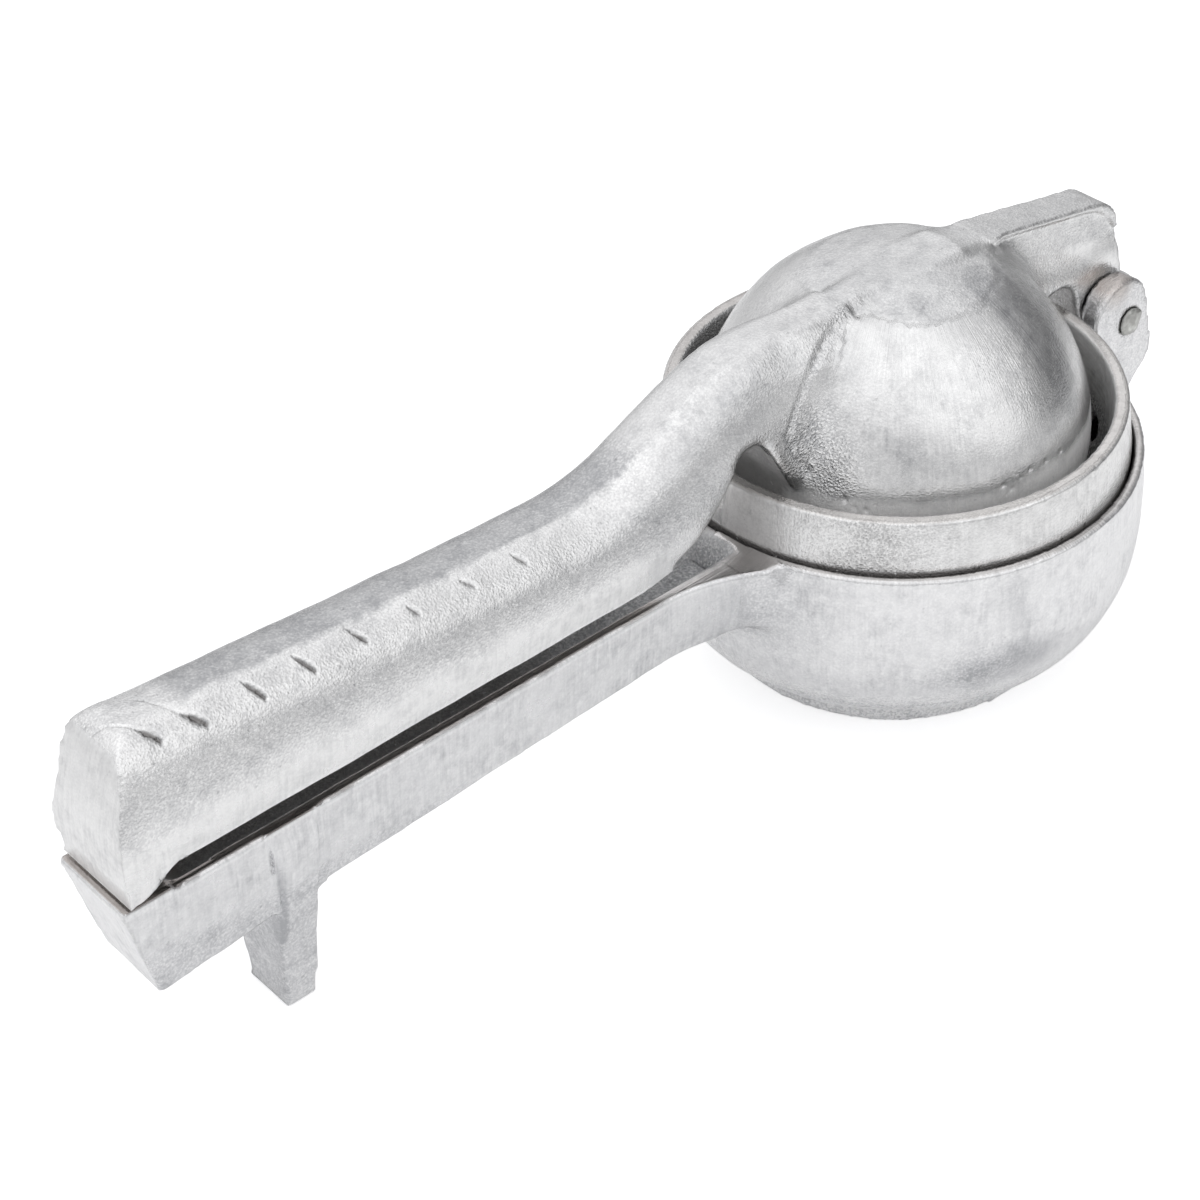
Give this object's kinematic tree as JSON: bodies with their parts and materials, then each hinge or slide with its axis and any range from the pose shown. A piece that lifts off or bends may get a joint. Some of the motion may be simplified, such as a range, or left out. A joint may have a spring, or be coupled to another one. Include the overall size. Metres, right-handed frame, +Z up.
{
  "type": "hinged lemon squeezer",
  "caption": "Hinged lemon squeezer of cast aluminium: footed juice bowl with a channel handle, drop-in perforated cup, and a long-handled press arm with a domed head.",
  "frame": {"origin": "centre of the bowl's foot, on the floor", "axes": "+Z up, +X from the bowl towards the hinge, both handles reach out along -X, +Y to the left of someone who looks from the handles to the hinge"},
  "size_m": [0.2262, 0.0878, 0.0743],
  "materials": {
    "lower_casting": "sand cast and belt ground",
    "cup_casting": "turned and belt ground",
    "upper_casting": "sand cast and belt ground",
    "pin": "ground, ends spread over"
  },
  "bodies": {
    "base": {"bowl_base": "lower_casting", "hinge_pin": "pin"},
    "cup": {"strainer_cup": "cup_casting"},
    "arm": {"press_arm": "upper_casting"}
  },
  "joints": [
    {"name": "press_hinge", "type": "hinge", "parent": "base", "child": "arm", "pos_m": [0.0532, 0, 0.0425], "axis": [0, 1, 0], "range_deg": [0, 112]},
    {"name": "cup_turn", "type": "hinge", "parent": "base", "child": "cup", "pos_m": [0, 0, 0.0399], "axis": [0, 0, 1], "continuous": true}
  ]
}
